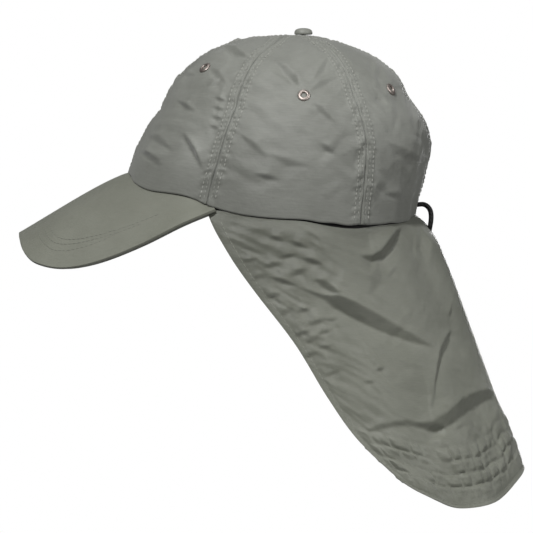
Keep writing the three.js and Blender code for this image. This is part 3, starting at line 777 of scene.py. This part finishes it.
# The peak's three rows of stitches: how far out each runs at each share of the half span, and where it ends
PEAK_ROWS = {
    "across": (0, 0.2, 0.37, 0.48, 0.57, 0.64, 0.7, 0.8),
    "outer": (0.83, 0.84, 0.84, 0.83, 0.76, 0.66, 0.52, 0.4),
    "middle": (0.775, 0.78, 0.785, 0.75, 0.67, 0.6, 0.54, 0.4),
    "inner": (0.73, 0.735, 0.735, 0.69, 0.61, 0.54, 0.48, 0.33),
}
PEAK_ROW_ENDS = (("outer", 0.69), ("middle", 0.75), ("inner", 0.8))


def evenly(points, pitch):
    """Shares of a line of points that lie one pitch apart."""
    run = np.concatenate([[0], np.cumsum(np.linalg.norm(np.diff(points, axis=0), axis=1))])
    return np.interp(np.arange(0, run[-1], pitch), run, np.linspace(0, 1, len(points)))


def peak_stitching():
    places = []
    for row, end in PEAK_ROW_ENDS:
        across = np.linspace(-end, end, 400)
        out = read_table(PEAK_ROWS, "across", row, np.abs(across))
        across = np.interp(evenly(peak_face(across, out), PEAK_PITCH), np.linspace(0, 1, 400), across)
        out = read_table(PEAK_ROWS, "across", row, np.abs(across))
        upward = peak_up(across, out)
        points = peak_face(across, out) + upward * PEAK_THICKNESS / 2
        places += stitch_places(points, upward[:-1], 2.7, 0.5, 0.3)
    sew("peak_stitching", places, PEAK_THREAD_FINISH)


def slit_at(angle):
    folded = np.minimum(angle, 360 - angle)
    below_peak = hump(np.maximum(folded - FLAP_START, 0), 3)
    return SLIT + SLIT_SAG * hump(folded - 112, 22) + (PEAK_THICKNESS + PEAK_SEAT - CORNER_LIFT) * below_peak


def sweatband():
    def place(across, up):
        angle = (180.1 + across * 359.8) % 360
        bottom = -slit_at(angle) - BAND_OVERLAP
        level = (hem_height(angle) + bottom + up * (BAND_HEIGHT - bottom)) / CROWN_HEIGHT
        return crown_face(angle, level) - crown_normal(angle, level) * 1.8

    # The band's near-black lower edge shows in the gap under the crown's hem: partly the band itself, partly
    # painted shadow of that gap.
    band = cloth("black_sweatband", 240, 14, (540, 18), place, BAND_FINISH)
    thicken(band, BAND_WALL)
    belongs(band, "band_cloth", "sweatband")


def flap_face(along, down):
    """Points of the flap's smooth outer face, from its left front edge over the back to the right one."""
    around = 1 - np.abs(2 * along - 1)
    hand = np.where(along > 0.5, 1, -1)
    angle = FLAP_START + around * (180 - FLAP_START)
    top = crown_face(angle, (hem_height(angle) - slit_at(angle)) / CROWN_HEIGHT)
    to_side = np.minimum(around * 2, 1)
    to_back = np.maximum(around * 2 - 1, 0)
    front = blend(
        read_table(FLAP_SWEEP, "down", "front", down), read_table(FLAP_SWEEP, "down", "side", down), to_side)
    sweep = blend(front, read_table(FLAP_SWEEP, "down", "back", down), smoothstep(to_back, 0, 1))
    top[..., 0] -= CORNER_REACH * hump(around, 0.05) * hump(down, 0.16)
    y = blend(-top[..., 1], FLAP_HALF_WIDTH * read_table(FLAP_HEM, "round", "side", around), down)
    return stack(
        blend(top[..., 0], FLAP_TAIL * read_table(FLAP_HEM, "round", "tail", around), sweep),
        hand * y,
        blend(top[..., 2], -FLAP_DROP * read_table(FLAP_HEM, "round", "drop", around), down),
    )


def flap_normal(along, down):
    return -normal_of(flap_face, np.clip(along, 0.004, 0.996), np.clip(down, 0.01, 0.99), 0.004, 0.01)


def flap_gather(along, down):
    from_middle = np.abs(along - 0.5)
    spread = hump(from_middle, 0.17) * hump(down, 0.32) * smoothstep(down, 0, 0.2)
    return -FLAP_FAN * spread * np.cos(2 * np.pi * from_middle / 0.13)


def flap_crinkle(along, down):
    """Small facets all over, strongest near the front edge and above the lower hem."""
    x, y = along * FLAP_RIM, down * FLAP_LENGTH
    fine = creased(x, y, 25, 7.5, 0) + 0.8 * creased(x, y, -35, 9, 1)
    coarse = creased(x, y, 40, 17, 2) + 0.9 * creased(x, y, -20, 21, 3)
    to_front = hump(np.minimum(along, 1 - along), 0.17) * hump(down - 0.22, 0.3)
    to_hem = hump(down - 0.86, 0.13)
    inside = smoothstep(np.minimum(x, FLAP_RIM - x), 1, 9)
    inside *= smoothstep((1 - down) * FLAP_FRONT_LENGTH, 1, 10)
    strength = inside * (0.12 + 0.14 * to_front + 0.16 * to_hem) * (1 - 0.85 * hump(along - 0.5, 0.07))
    return strength * (0.75 * fine + 1.5 * coarse) + 0.8 * inside * soft_noise(x / 26, y / 30, 1)


def hem_pillows(along, down):
    """Puckers between the hem's stitch rows and above them: small pillows with creases between."""
    above_edge = (1 - down) * FLAP_FRONT_LENGTH
    x = along * FLAP_RIM
    row = (above_edge - 5.5) / 9.5 + 0.22 * soft_noise(x / 12, above_edge / 30, 3)
    across = x / 12 + 0.5 * np.floor(row) + 0.45 * soft_noise(x / 15, np.floor(row) * 3.7, 0)
    crease_across = smoothstep(np.abs(2 * (across - np.floor(across)) - 1), 0.5, 1)
    crease_up = smoothstep(np.abs(2 * (row - np.floor(row)) - 1), 0.5, 1)
    uneven = smoothstep(soft_noise(x / 10, above_edge / 9.5, 2), -1, 0.2)
    in_reach = (0.3 + 0.7 * smoothstep(above_edge, 10, 17)) * (1 - smoothstep(above_edge, 34, 52))
    in_reach *= smoothstep(above_edge, 4, 8) * (1 - 0.6 * hump(along - 0.5, 0.1))
    in_reach *= smoothstep(np.minimum(along, 1 - along), 0.015, 0.06)
    return PILLOW_HEIGHT * in_reach * uneven * (1 - np.maximum(crease_across, crease_up))


def hem_lines(along, down):
    """The hems' stitch rows press the cloth down, and the lower hem stands a little proud of the flap."""
    above_edge = (1 - down) * FLAP_FRONT_LENGTH
    from_front = np.minimum(along, 1 - along) * FLAP_RIM
    depths = (1, 1, 0.7)
    rows = sum(depth * hump(above_edge - row, 1) for depth, row in zip(depths, HEM_ROWS))
    rows = rows + 0.8 * hump(from_front - FRONT_HEM_ROW, 0.9)
    proud = 0.4 * (1 - smoothstep(above_edge, HEM_ROWS[1], HEM_ROWS[1] + 1.5))
    proud = proud + 0.35 * (1 - smoothstep(from_front, FRONT_HEM_ROW, FRONT_HEM_ROW + 1))
    return proud - 0.5 * rows


def flap_relief(along, down, points):
    settle = smoothstep(down, 0.004, 0.04)
    off_corner = smoothstep(np.minimum(along, 1 - along), 0.02, 0.14)
    wave = FLAP_FLARE * down**2 * off_corner * np.sin(11 * np.pi * (0.5 - along))
    shaped = flap_gather(along, down) + wave + pleats(FLAP_PLEATS, FLAP_LEAVES, points)
    shaped += flap_crinkle(along, down) + hem_pillows(along, down)
    tucked = FLAP_TUCK * (1 - smoothstep(down, 0, 0.05))
    return settle * shaped + smoothstep(down, 0, 0.03) * hem_lines(along, down) - tucked


def flap_surface(along, down):
    points = flap_face(along, down)
    return points + flap_normal(along, down) * flap_relief(along, down, points)[:, None]


def neck_flap():
    def place(across, up):
        return flap_surface(across, (1 - up) ** 1.1)

    flap = cloth("neck_flap_cloth", 270, 160, (FLAP_RIM, FLAP_LENGTH), place, FLAP_FINISH)
    thicken(flap, FLAP_CLOTH, rounding=0.25)
    belongs(flap, "flap_nylon", "neck_flap")
    return flap


def flap_stitching():
    places = []
    for above_edge in HEM_ROWS:
        along = np.linspace(0.004, 0.996, 400)
        down = 1 - above_edge / FLAP_FRONT_LENGTH + 0 * along
        along = np.interp(evenly(flap_face(along, down), FLAP_PITCH), np.linspace(0, 1, 400), along)
        down = 1 - above_edge / FLAP_FRONT_LENGTH + 0 * along
        points = flap_surface(along, down)
        places += stitch_places(points, flap_normal(along, down)[:-1], 2.5, 0.42, 0.12)
    for edge in (FRONT_HEM_SHARE, 1 - FRONT_HEM_SHARE):
        down = np.linspace(0.04, 0.98, 400)
        along = edge + 0 * down
        down = np.interp(evenly(flap_face(along, down), FLAP_PITCH), np.linspace(0, 1, 400), down)
        along = edge + 0 * down
        places += stitch_places(flap_surface(along, down), flap_normal(along, down)[:-1], 2.5, 0.42, 0.12)
    sew("flap_stitching", places, FLAP_THREAD_FINISH)


def cord_points():
    hole = crown_spot(180, CORD_HOLE_HEIGHT / CROWN_HEIGHT)
    left = [(hole[0] + back, -CORD_SPREAD * side, CORD_HOLE_HEIGHT + up) for back, up, side in CORD_ROUTE]
    right = [(x, -y, z) for x, y, z in reversed(left[:-1])]
    return np.array(left + right) * MM


def smooth_line(points, pieces):
    """Points close together on a smooth curve through the given ones."""
    padded = np.vstack([2 * points[0] - points[1], points, 2 * points[-1] - points[-2]])
    line = []
    for a, b, c, d in zip(padded, padded[1:], padded[2:], padded[3:]):
        for t in np.arange(pieces) / pieces:
            line.append(b + 0.5 * t * (c - a + t * (2 * a - 5 * b + 4 * c - d + t * (3 * (b - c) + d - a))))
    line.append(points[-1])
    return np.array(line)


def elastic_cord():
    line = smooth_line(cord_points(), 4)
    curve = bpy.data.curves.new("elastic_loop", "CURVE")
    curve.dimensions = "3D"
    curve.bevel_depth = CORD_DIAMETER / 2 * MM
    curve.bevel_resolution = 4
    curve.use_fill_caps = True
    spline = curve.splines.new("POLY")
    spline.points.add(len(line) - 1)
    for point, place in zip(spline.points, line):
        point.co = (*place, 1)
    curve.materials.append(ELASTIC_FINISH)
    cord = bpy.data.objects.new("elastic_loop", curve)
    bpy.context.scene.collection.objects.link(cord)
    belongs(cord, "elastic", "elastic_cord")


# The picture's side in pixels, and one pixel's size on the cap in millimetres
IMAGE_PIXELS = 533
PIXEL_SIZE = 0.65


def camera():
    data = bpy.data.cameras.new("camera")
    data.lens = 600
    data.sensor_width = 36
    data.clip_end = 100
    seen = bpy.data.objects.new("camera", data)
    bpy.context.scene.collection.objects.link(seen)
    across = IMAGE_PIXELS * PIXEL_SIZE * MM
    seen.location = (-4.2 * MM, -across * data.lens / data.sensor_width, -33.5 * MM)
    seen.rotation_euler = (np.pi / 2, 0, 0)
    bpy.context.scene.camera = seen


def lamp(name, place, size, power):
    data = bpy.data.lights.new(name, "AREA")
    data.shape = "DISK"
    data.size = size
    data.energy = power
    light = bpy.data.objects.new(name, data)
    bpy.context.scene.collection.objects.link(light)
    light.location = place
    light.rotation_euler = (-Vector(place)).to_track_quat("-Z", "Y").to_euler()


def studio():
    """A pale floor well below the cap, a white surround and soft lamps above the front."""
    bm = bmesh.new()
    bmesh.ops.create_circle(bm, cap_ends=True, segments=96, radius=0.7)
    bmesh.ops.translate(bm, verts=bm.verts, vec=(0, 0, -0.9))
    pale, tree, shader = new_finish("pale_floor", Roughness=0.9)
    place = node(tree, "TexCoord")
    paper = mottled(tree, place.outputs["Object"], 3, (0.86, 0.86, 0.86), (0.9, 0.9, 0.9))
    tree.links.new(paper, shader.inputs["Base Color"])
    finish_mesh("floor", bm, pale)
    world = bpy.data.worlds.new("white_surround")
    bpy.context.scene.world = world
    world.use_nodes = True
    tree = world.node_tree
    surround = tree.nodes["Background"]
    surround.inputs["Color"].default_value = (1, 1, 1, 1)
    path = node(tree, "LightPath")
    bright = node(tree, "MapRange", i0=path.outputs["Is Camera Ray"], i3=0.12, i4=1.0)
    tree.links.new(bright.outputs["Result"], surround.inputs["Strength"])
    lamp("key_lamp", (-0.8, -2.1, 1.75), 0.3, 70)
    lamp("top_lamp", (-0.4, 0.1, 2.4), 0.8, 10)
    lamp("side_lamp", (1.8, -1.3, 0.9), 0.8, 23)
    lamp("far_lamp", (0.4, 2.4, 0), 0.8, 14)
    bpy.context.scene.view_settings.view_transform = "Standard"


camera()
elastic_cord()
for panel_name, panel_start, _ in PANELS:
    crown_panel(panel_name, panel_start)
crown_stitching()
for (panel_name, _, _), eyelet_seat in zip(PANELS, EYELET_SEATS):
    eyelet(panel_name, eyelet_seat)
top_button()
peak()
peak_stitching()
sweatband()
flap = neck_flap()
flap_stitching()
studio()
